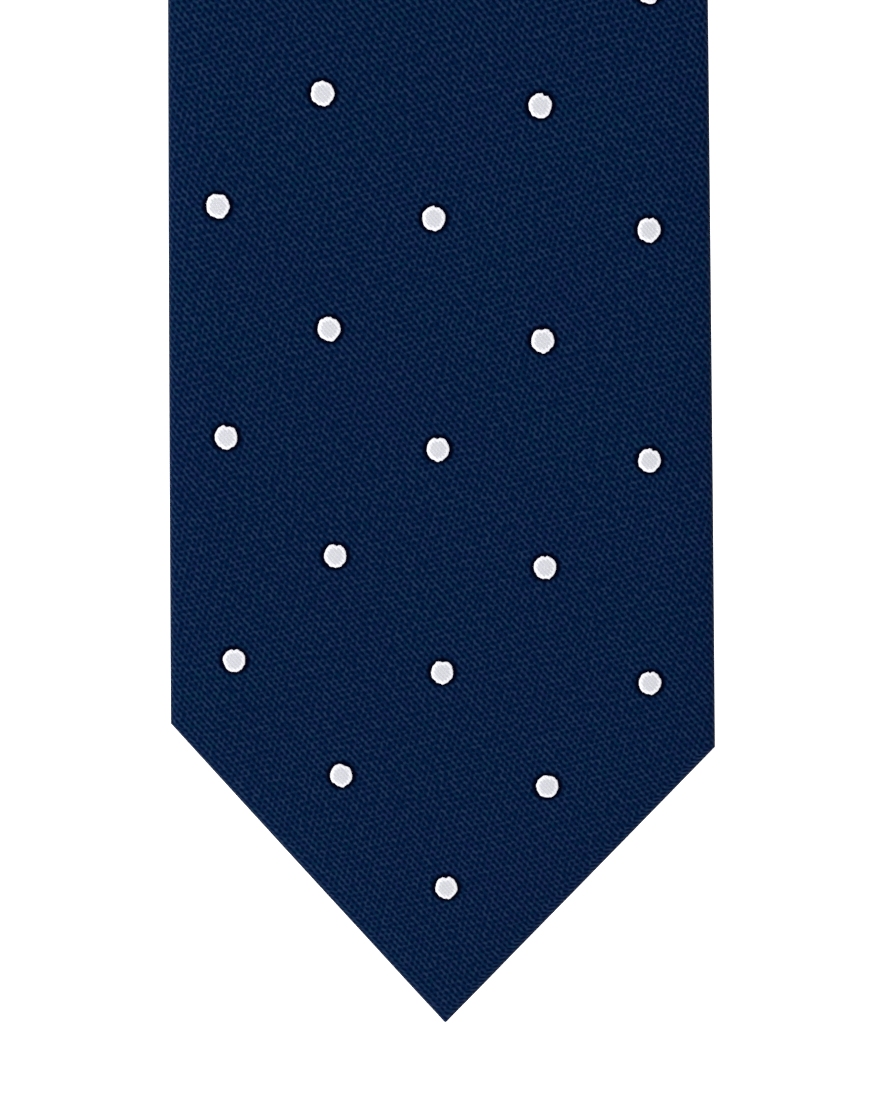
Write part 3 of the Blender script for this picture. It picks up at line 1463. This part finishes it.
@dataclass
class KeeperLoop:
    """The band of self silk that the tail slips through: sewn feet, rounded shoulders and a free bridge.

    The route's points are places across the tie and heights off its back, in millimetres.
    """

    silk: FoldedSilk
    finishes: Finishes
    lattice: SpotLattice
    sag: float = 0.4 * MM
    band_half: float = 10.9 * MM
    half_thickness: float = 0.5 * MM
    edge_drop: float = 0.3 * MM
    edge_start: float = 0.9
    squareness: tuple[float, float] = (0.12, 0.6)
    spot_room: float = 0.6
    stations: int = 90
    around: int = 32
    soft_passes: int = 3
    route: tuple[tuple[float, float], ...] = (
        (-33.0, 0.50), (-31.0, 0.52), (-29.2, 0.85), (-28.1, 2.2), (-27.4, 4.0), (-25.6, 5.15), (-21.0, 5.42),
        (-12.0, 5.50), (0.0, 5.52), (12.0, 5.50), (21.0, 5.42), (25.6, 5.15), (27.4, 4.0), (28.1, 2.2),
        (29.2, 0.85), (31.0, 0.52), (33.0, 0.50))

    def __post_init__(self) -> None:
        """Reads where the band lies."""
        low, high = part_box("keeper_loop")
        self.low, self.high = low.z, high.z
        self.middle = (low.z + high.z) / 2.0
        self.half_span = self.route[-1][0] * MM

    def middle_line(self) -> tuple[Array, Array, Array, Array]:
        """The band's middle line, evenly spaced.

        Returns:
            Places across the tie, heights off its back, slopes, and distances walked from the middle.
        """
        route = np.array(self.route) * MM
        x, height, walked = route[:, 0], route[:, 1], self.walk(route[:, 0], route[:, 1])
        even = np.linspace(walked[0], walked[-1], self.stations)
        x, height = np.interp(even, walked, x), np.interp(even, walked, height)
        for line in (x, height):
            for _ in range(self.soft_passes):
                line[1:-1] = (line[:-2] + 2.0 * line[1:-1] + line[2:]) / 4.0
        return x, height, np.arctan2(np.gradient(height), np.gradient(x)), self.walk(x, height)

    @staticmethod
    def walk(x: Array, height: Array) -> Array:
        """Distances walked along a line, from its middle."""
        walked = np.concatenate([[0.0], np.cumsum(np.hypot(np.diff(x), np.diff(height)))])
        return walked - walked[-1] / 2.0

    def surface(self, u: Array, v: Array, lift: Array) -> Array:
        """The band's outer face.

        Args:
            u: Along the band from its middle.
            v: Height.
            lift: Height above the face.

        Returns:
            One point for each place.
        """
        x, height, slope, walked = self.middle_line()
        u = np.clip(u, walked[0], walked[-1])
        across = np.clip(v - self.middle, -self.band_half, self.band_half)
        edge = smooth_step(self.edge_start, 1.0, np.abs(across) / self.band_half)
        out = self.half_thickness + lift - self.edge_drop * edge
        return self.place(*(np.interp(u, walked, line) for line in (x, height, slope)), across, out)

    def place(self, x: Array, height: Array, slope: Array, across: Array, out: Array) -> Array:
        """Puts places of the band on the tie's back.

        Args:
            x: Across the tie, on the middle line.
            height: Off the tie's back, on the middle line.
            slope: The middle line's slope there.
            across: Across the band from its middle.
            out: Off the middle line.

        Returns:
            One point for each place.
        """
        sag = self.sag * (1.0 - (x / self.half_span) ** 2)
        rise = height + np.cos(slope) * out
        return self.silk.lay.place(x - np.sin(slope) * out, self.middle + across - sag,
                                   self.silk.lay.inner - rise)

    def build(self) -> None:
        """Makes the band, its sewn feet included, and its spots."""
        turn = np.arange(self.around) * 2.0 * math.pi / self.around
        across = np.sign(np.cos(turn)) * np.abs(np.cos(turn)) ** self.squareness[0] * self.band_half
        swell = np.sign(np.sin(turn)) * np.abs(np.sin(turn)) ** self.squareness[1] * self.half_thickness
        x, height, slope, walked = (line[:, None] for line in self.middle_line())
        points = self.place(x, height, slope, across, swell)
        along, level = np.broadcast_arrays(walked, self.middle + across)
        cloth = np.stack([along, level], axis=-1).reshape(-1, 2)
        faces = grid_faces(*along.shape, ring=True)
        band = add_mesh("keeper_loop_band", points.reshape(-1, 3), faces, cloth, self.finishes.silk)
        edit_mesh(band, close_ends)
        half_length = float(walked[-1, 0])
        dress(band, Slot.SILK, "keeper_loop")
        room = self.lattice.radius * self.spot_room
        held = [(u, v) for u, v in self.lattice.places()
                if abs(u) < half_length + room and self.low - room < v < self.high + room]
        spots = SpotMaker(self.lattice).make("keeper_loop_spots", held, self.surface, self.finishes.spots)
        dress(spots, Slot.SILK)
        for obj in (band, spots):
            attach(obj, Body.FRONT_LOWER.value)


@dataclass
class Label:
    """A flat label of woven tape."""

    name: str
    node: str
    silk: FoldedSilk
    finish: Finish
    slot: Slot
    body: Body
    curl: float
    thickness: float = 0.28 * MM
    columns: int = 25
    rows: int = 33
    curl_twist: float = 0.25
    wave: float = 0.12 * MM
    wave_turns: tuple[float, float] = (2.6, 3.0)
    soft_edge: float = 0.08 * MM

    def build(self) -> None:
        """Makes the label in the place that its node has, with a slight curl and wave."""
        low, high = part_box(self.node)
        across, down = np.meshgrid(np.linspace(-1.0, 1.0, self.columns), np.linspace(0.0, 1.0, self.rows))
        half = (high.x - low.x) / 2.0
        x = across * half
        v = high.z - down * (high.z - low.z)
        gap = self.silk.lay.inner + high.y
        rise = gap - self.thickness / 2.0 + self.curl * down ** 2 * (1.0 + self.curl_twist * across)
        rise = rise + self.wave * np.sin(across * self.wave_turns[0] + down * self.wave_turns[1]) * down
        points = self.silk.lay.place(x, v, self.silk.lay.inner - rise)
        cloth = np.stack([x, v - (low.z + high.z) / 2.0], axis=-1).reshape(-1, 2)
        obj = add_mesh(self.name, points.reshape(-1, 3), grid_faces(*v.shape), cloth, self.finish)
        thicken(obj, self.thickness, 0.0)
        apply_modifier(obj, "BEVEL", width=self.soft_edge, segments=2, limit_method="ANGLE")
        dress(obj, self.slot, self.node)
        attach(obj, self.body.value)


# ---------------------------------------------------------------- sub-assemblies


@dataclass
class TieShape:
    """The sizes that every sub-assembly shares, read from the frame."""

    hem: float = 7.0 * MM
    blunt: float = 0.22 * MM
    shoulder_lean: tuple[float, float] = (2.4 * MM, -2.1 * MM)
    split: float = 360.0 * MM
    swing_reach: float = 24.0 * MM
    front_fold_reach: float = 50.0 * MM
    tail_fold_reach: float = 40.0 * MM
    seam_rise: float = 62.0 * MM
    wool_share: float = 0.85
    wool_margin: float = 1.7 * MM
    tack_room: float = 2.8 * MM
    shoulder_room: float = 0.01 * MM

    def __post_init__(self) -> None:
        """Reads the depths, the points and the outline."""
        neck_low, neck_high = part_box("front_shell_upper")
        self.lay = Lay(inner=-neck_high.y, outer=-neck_low.y)
        self.front = self.point_end("front", 1)
        self.tail = self.point_end("tail", -1)
        outline = Outline(self.lay, self.front, self.shoulder_lean)
        self.silk = FoldedSilk(self.lay, outline, (self.front, self.tail))
        self.stitches = StitchMaker(self.silk)
        self.lattice = SpotLattice(self.front.tip)
        self.finishes = Finishes(TwillSilk(
            "Navy twill silk", roughness=0.6, specular=0.02, specular_tint=(0.1, 0.3, 1.0), relief=0.25,
            relief_depth=0.10 * MM, lattice=self.lattice))
        wool_low, wool_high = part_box("front_interlining_upper")
        self.wool_depth = -(wool_low.y + wool_high.y) / 2.0
        self.wool_thickness = (wool_high.y - wool_low.y) * self.wool_share
        tip_low, tip_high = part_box("front_tipping")
        self.tipping_depth = -(tip_low.y + tip_high.y) / 2.0

    def point_end(self, blade: str, way: int) -> PointEnd:
        """Reads one pointed end.

        Args:
            blade: front or tail.
            way: 1 where v grows away from the point, as on the front, and -1 on the tail.

        Returns:
            Its sizes.
        """
        low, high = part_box(blade + "_shell_lower")
        half = high.x
        shoulder = min(v.co.z for v in frame["nodes"][blade + "_shell_lower"].data.vertices
                       if abs(abs(v.co.x) - half) < self.shoulder_room)
        tack_low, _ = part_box(blade + "_bar_tack")
        tip = low.z if way > 0 else self.lay.bend - low.z
        meeting = tack_low.z - self.tack_room - low.z
        return PointEnd(tip=tip, way=way, half=half, rise=shoulder - low.z, meeting=meeting, hem=self.hem)

    def along(self, height: float) -> float:
        """The v of a height on the tail's side."""
        return self.lay.bend - height

    def front_seam(self) -> Edge:
        """The diagonal seam that joins the front blade to the neck piece."""
        return Edge(joint_height("front_swing") + self.seam_rise, slant=1.0, seam=True)

    def tail_seam(self) -> Edge:
        """The diagonal seam that joins the tail to the neck piece."""
        return Edge(self.along(joint_height("tail_swing") + self.seam_rise), slant=1.0, seam=True)

    def lay_silk(self, name: str, node: str, low: Edge, high: Edge, placing: Placing) -> None:
        """Makes a length of silk between two edges."""
        SilkLength(name, self.silk, low, high, placing, node, self.finishes, self.lattice).build()

    def lay_wool(self, name: str, node: str, span: list[float], placing: Placing,
                 row_step: float = PlyLength.row_step) -> None:
        """Makes a length of interlining.

        Args:
            name: The new piece.
            node: The CAD node that it stands for.
            span: Where it begins and ends along the tie.
            placing: What it follows.
            row_step: The distance between its rows.
        """
        PlyLength(name, self.silk, *span, self.wool_depth, self.wool_thickness, self.wool_margin, placing,
                  node, self.finishes.wool, Slot.WOOL, row_step=row_step).build()

    def sew(self, name: str, node: str, stitches: list[Stitch], placing: Placing,
            slot: Slot = Slot.THREAD) -> None:
        """Makes stitches as one piece.

        Args:
            name: The new piece.
            node: The CAD node that it stands for.
            stitches: Where they are.
            placing: What they follow.
            slot: Their slot: the labels are sewn with a thread of their own.
        """
        finish = self.finishes.thread if slot is Slot.THREAD else self.finishes.pale_thread
        obj = self.stitches.make(name, stitches, finish)
        dress(obj, slot, node)
        placing.put(obj)


class NeckPiece:
    """The middle of the tie, which lies on the rail."""

    row_step = 2.5 * MM
    seam_stitch = StitchRow(1.5 * MM, 1.2 * MM, -0.45 * MM)
    seam_turn = math.radians(-45.0)
    seam_half = 15.0 * MM
    seam_gap = 2.5 * MM

    def __init__(self, shape: TieShape) -> None:
        """Keeps the shared sizes."""
        self.shape = shape
        self.placing = Placing(Body.NECK)

    def build(self) -> None:
        """Makes the silk, wool, slip stitches and the two join seams."""
        shape, front_seam, tail_seam = self.shape, self.shape.front_seam(), self.shape.tail_seam()
        shape.lay_silk("neck_silk", "neck_shell", front_seam, tail_seam, self.placing)
        low = joint_height("front_swing") + shape.swing_reach
        high = shape.along(joint_height("tail_swing") + shape.swing_reach)
        shape.lay_wool("neck_wool", "neck_interlining", [low, high], self.placing, self.row_step)
        shape.sew("neck_slip_thread", "neck_slip_stitch", shape.stitches.slip_run(low, high), self.placing)
        shape.sew("front_join_thread", "front_join_seam", self.join_seam(front_seam), self.placing)
        shape.sew("tail_join_thread", "tail_join_seam", self.join_seam(tail_seam), self.placing)

    def join_seam(self, edge: Edge) -> list[Stitch]:
        """The short machine stitches in the groove of a join seam, on the tie's back."""
        row, reach = self.seam_stitch, self.seam_half
        whole = 2.0 * self.shape.silk.outline.half_width(np.array(1.0), np.array(edge.v))
        places = [x for x in np.arange(-reach, reach + row.step / 2.0, row.step) if abs(x) >= self.seam_gap]
        return [Stitch(x, float(edge.v + math.copysign(whole - abs(x), x)), self.seam_turn, row.length,
                       row.height) for x in places]


class Blade:
    """What the front blade and the tail have in common: a seam, a swing, a fold and a lined point."""

    tipping_thickness = 0.16 * MM
    tipping_margin = 1.8 * MM
    tipping_row_step = 2.0 * MM
    tipping_start = 2.2 * MM
    tipping_over = 5.0 * MM
    hem_row = StitchRow(3.0 * MM, 1.1 * MM, -0.12 * MM)
    hem_bottom = (0.6 * MM, 0.7 * MM)
    hem_top = (0.8 * MM, -1.5 * MM)
    bar_row = StitchRow(0.42 * MM, 5.6 * MM, 0.02 * MM)
    bar_start = 1.0 * MM
    bars = 6
    bind_places = (-1.6 * MM, -0.6 * MM, 0.4 * MM, 1.5 * MM)
    bind_rise = 2.05 * MM
    bind_length = 2.9 * MM
    bind_height = 0.16 * MM
    wool_start = 3.0 * MM
    slip_start = 10.0 * MM

    def __init__(self, shape: TieShape, blade: str, end: PointEnd) -> None:
        """Keeps the shared sizes, the blade's name and its pointed end."""
        self.shape = shape
        self.blade = blade
        self.end = end

    def v_at(self, height: float) -> float:
        """The v of a height on this blade."""
        return height if self.end.way > 0 else self.shape.along(height)

    def above_tip(self, rise: float) -> float:
        """The v of a place above this blade's point."""
        return self.end.tip + self.end.way * rise

    def tip_edge(self) -> Edge:
        """The silk's end at this blade's point, very slightly blunt."""
        return Edge(self.above_tip(self.shape.blunt))

    def cloths(self, seam: Edge, upper_body: Body, lower_body: Body, fold_reach: float) -> Placing:
        """Makes the silk, wool, slip stitches and lined point.

        Args:
            seam: Where the blade is joined to the neck piece.
            upper_body: The body of its upper half.
            lower_body: The body of its lower half.
            fold_reach: How far above and below the fold the cloth bends.

        Returns:
            What the lower half's sewn parts follow.
        """
        shape, blade = self.shape, self.blade
        upper = Placing(Body.NECK, upper_body, f"{blade}_swing", shape.swing_reach)
        lower = Placing(upper_body, lower_body, f"{blade}_fold", fold_reach)
        split = Edge(self.v_at(-shape.split))
        for half, end, placing in (("upper", seam, upper), ("lower", self.tip_edge(), lower)):
            low, high = sorted((end, split), key=lambda edge: edge.v)
            shape.lay_silk(f"{blade}_silk_{half}", f"{blade}_shell_{half}", low, high, placing)
        self.inside(split, upper, lower)
        riding = Placing(lower_body)
        self.point(riding)
        return riding

    def inside(self, split: Edge, upper: Placing, lower: Placing) -> None:
        """Makes the interlining and the slip stitches of both halves.

        Args:
            split: Where the upper half meets the lower one.
            upper: What the upper half follows.
            lower: What the lower half follows.
        """
        shape, blade = self.shape, self.blade
        top = self.v_at(joint_height(f"{blade}_swing") + shape.swing_reach)
        wool_end = self.above_tip(self.wool_start)
        slip_end = self.above_tip(self.end.meeting + self.slip_start)
        for half, end, placing in (("upper", top, upper), ("lower", wool_end, lower)):
            span = sorted((end, split.v))
            shape.lay_wool(f"{blade}_wool_{half}", f"{blade}_interlining_{half}", span, placing)
        for half, end, placing in (("upper", top, upper), ("lower", slip_end, lower)):
            stitches = shape.stitches.slip_run(*sorted((end, split.v)))
            shape.sew(f"{blade}_slip_thread_{half}", f"{blade}_slip_stitch_{half}", stitches, placing)

    def point(self, placing: Placing) -> None:
        """Makes the lining behind the point, the stitches round the opening and the bar tack."""
        shape, blade, end = self.shape, self.blade, self.end
        low, high = sorted((self.above_tip(self.tipping_start),
                            self.above_tip(end.meeting + self.tipping_over)))
        Tipping(f"{blade}_tipping_satin", shape.silk, low, high, shape.tipping_depth, self.tipping_thickness,
                self.tipping_margin, placing, f"{blade}_tipping", shape.finishes.satin, Slot.SATIN,
                row_step=self.tipping_row_step, end=end).build()
        shape.sew(f"{blade}_hem_thread", f"{blade}_hem_stitches", self.hem(), placing)
        shape.sew(f"{blade}_tack_thread", f"{blade}_bar_tack", self.tack(), placing)

    def hem(self) -> list[Stitch]:
        """The fine stitches round the opening, up its left side and then its right."""
        end = self.end
        bottom = end.strip * end.rise / end.half
        stitches: list[Stitch] = []
        for way in (-1.0, 1.0):
            route = [(self.hem_bottom[0], bottom + self.hem_bottom[1]), (end.corner, end.corner_rise),
                     (self.hem_top[0], end.meeting + self.hem_top[1])]
            route = [(way * x, self.above_tip(rise)) for x, rise in route]
            for start, stop in zip(route, route[1:]):
                stitches += self.shape.stitches.line(start, stop, self.hem_row)
        return stitches

    def tack(self) -> list[Stitch]:
        """The bar tack above the opening: bars across the tie and shorter stitches that bind them."""
        row, meeting = self.bar_row, self.end.meeting
        bars = [Stitch(0.0, self.above_tip(meeting + self.bar_start + k * row.step), math.radians(90.0),
                       row.length, row.height) for k in range(self.bars)]
        binds = [Stitch(x, self.above_tip(meeting + self.bind_rise), 0.0, self.bind_length, self.bind_height)
                 for x in self.bind_places]
        return bars + binds


class FrontBlade(Blade):
    """The wide blade that shows."""

    keeper_row = StitchRow(2.6 * MM, 1.6 * MM, 0.98 * MM)
    keeper_inset = (2.2 * MM, 1.5 * MM)
    maker_row = StitchRow(2.4 * MM, 1.6 * MM, 0.36 * MM)
    maker_inset = (1.1 * MM, 1.0 * MM)
    care_row = StitchRow(2.0 * MM, 1.3 * MM, 0.12 * MM)
    care_inset = 1.0 * MM
    care_rise = 1.45 * MM
    care_curl = 1.6 * MM

    def build(self) -> None:
        """Makes the blade and all that is sewn to its back."""
        shape, finishes = self.shape, self.shape.finishes
        riding = self.cloths(shape.front_seam(), Body.FRONT_UPPER, Body.FRONT_LOWER, shape.front_fold_reach)
        KeeperLoop(shape.silk, finishes, shape.lattice).build()
        shape.sew("keeper_thread", "keeper_stitches",
                  self.side_rows("keeper_loop", self.keeper_inset, self.keeper_row), riding)
        Label("maker_label_tape", "maker_label", shape.silk, finishes.label, Slot.LABEL, Body.FRONT_LOWER,
              curl=0.0).build()
        Label("care_label_tape", "care_label", shape.silk, finishes.tape, Slot.CARE, Body.CARE_TAB,
              curl=self.care_curl).build()
        shape.sew("label_thread", "label_stitches",
                  self.side_rows("maker_label", self.maker_inset, self.maker_row), riding, Slot.LABEL_THREAD)
        shape.sew("care_label_thread", "care_label_stitches", self.care_stitches(), riding,
                  Slot.LABEL_THREAD)

    def side_rows(self, node: str, inset: tuple[float, float], row: StitchRow) -> list[Stitch]:
        """Upright rows inside both ends of a node.

        Args:
            node: What they sew down.
            inset: How far inside its ends, and inside its top and bottom, they run.
            row: How they are sewn.

        Returns:
            The stitches.
        """
        low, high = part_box(node)
        x = high.x - inset[0]
        stitches: list[Stitch] = []
        for way in (-1.0, 1.0):
            ends = (way * x, low.z + inset[1]), (way * x, high.z - inset[1])
            stitches += self.shape.stitches.line(*ends, row)
        return stitches

    def care_stitches(self) -> list[Stitch]:
        """The row along the care label's top edge."""
        low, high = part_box("care_label")
        row = high.z + self.care_rise
        return self.shape.stitches.line((low.x + self.care_inset, row), (high.x - self.care_inset, row),
                                        self.care_row)


class TailBlade(Blade):
    """The narrow blade that hangs behind."""

    def build(self) -> None:
        """Makes the tail, which carries nothing but its own cloths."""
        shape = self.shape
        self.cloths(shape.tail_seam(), Body.TAIL_UPPER, Body.TAIL_LOWER, shape.tail_fold_reach)


# ---------------------------------------------------------------- studio


@dataclass
class Studio:
    """A plain pale floor, soft light and the camera."""

    floor_drop: float = 60.0 * MM
    distance: float = 0.500
    camera_rise: float = 218.76 * MM
    camera_side: float = -0.14 * MM
    pitch: float = math.radians(15.61)
    roll: float = math.radians(-0.42)
    lens: float = 111.4
    sensor: float = 36.0
    nearest: float = 0.01
    floor_size: float = 24.0
    floor_colour: tuple[float, ...] = (0.93, 0.93, 0.93, 1.0)
    floor_roughness: float = 0.9
    floor_specular: float = 0.1
    floor_glow: float = 0.35
    white: tuple[float, ...] = (1.0, 1.0, 1.0, 1.0)
    aim: tuple[float, float, float] = (0.0, 0.0, -0.6)
    lamps: tuple[tuple[str, tuple[float, float, float], float, float], ...] = (
        ("Key lamp", (-1.3, -1.1, -0.5), 0.8, 26.0),
        ("Fill lamp", (0.9, -1.3, -1.0), 1.2, 5.0),
        ("Back lamp", (-1.3, 1.1, 0.1), 0.8, 24.0))

    def build(self, shape: TieShape) -> None:
        """Makes the floor, the light and the camera."""
        self.floor(shape.front.tip - self.floor_drop)
        self.light()
        self.camera(shape)

    def floor(self, height: float) -> None:
        """Makes the floor at that height."""
        bpy.ops.object.select_all(action="DESELECT")
        bpy.ops.mesh.primitive_plane_add(size=self.floor_size, location=(0.0, 0.0, height))
        floor = bpy.context.object
        floor.name = "floor"
        material = bpy.data.materials.new("Pale floor")
        material.use_nodes = True
        shader = material.node_tree.nodes["Principled BSDF"]
        for socket, value in (("Base Color", self.floor_colour), ("Roughness", self.floor_roughness),
                              ("Specular IOR Level", self.floor_specular), ("Emission Color", self.white),
                              ("Emission Strength", self.floor_glow)):
            shader.inputs[socket].default_value = value
        floor.data.materials.append(material)

    def light(self) -> None:
        """Makes an even pale sky and three large soft lamps."""
        world = bpy.data.worlds.new("Studio")
        bpy.context.scene.world = world
        world.use_nodes = True
        background = world.node_tree.nodes["Background"]
        background.inputs["Color"].default_value = self.white
        background.inputs["Strength"].default_value = 1.0
        for name, place, size, power in self.lamps:
            self.lamp(name, Vector(place), size, power)
        bpy.context.scene.view_settings.view_transform = "Standard"
        bpy.context.scene.view_settings.look = "None"

    def lamp(self, name: str, place: Vector, size: float, power: float) -> None:
        """Makes one soft lamp that faces the tie.

        Args:
            name: The lamp's name.
            place: Where it stands.
            size: Its side.
            power: Its power in watts.
        """
        data = bpy.data.lights.new(name, "AREA")
        data.size = size
        data.energy = power
        lamp = bpy.data.objects.new(name, data)
        lamp.location = place
        lamp.rotation_euler = (Vector(self.aim) - place).to_track_quat("-Z", "Y").to_euler()
        lamp.visible_camera = False
        bpy.context.collection.objects.link(lamp)

    def camera(self, shape: TieShape) -> None:
        """Makes the camera, a little above the point and looking down on it."""
        data = bpy.data.cameras.new("Camera")
        data.lens = self.lens
        data.sensor_width = self.sensor
        data.clip_start = self.nearest
        camera = bpy.data.objects.new("Camera", data)
        forward = Vector((0.0, math.cos(self.pitch), -math.sin(self.pitch)))
        level = Vector((1.0, 0.0, 0.0))
        upright = level.cross(forward)
        right = level * math.cos(self.roll) + upright * math.sin(self.roll)
        up = right.cross(forward)
        turned = Matrix((right, up, -forward)).transposed().to_4x4()
        place = Vector((self.camera_side, -shape.lay.outer - self.distance,
                        shape.front.tip + self.camera_rise))
        camera.matrix_world = Matrix.Translation(place) @ turned
        bpy.context.collection.objects.link(camera)
        bpy.context.scene.camera = camera


def main() -> None:
    """Builds the tie and its studio in order."""
    logging.basicConfig(level=logging.INFO, format="%(message)s")
    shape = TieShape()
    Studio().build(shape)
    NeckPiece(shape).build()
    FrontBlade(shape, "front", shape.front).build()
    TailBlade(shape, "tail", shape.tail).build()


if __name__ == "__main__":
    main()
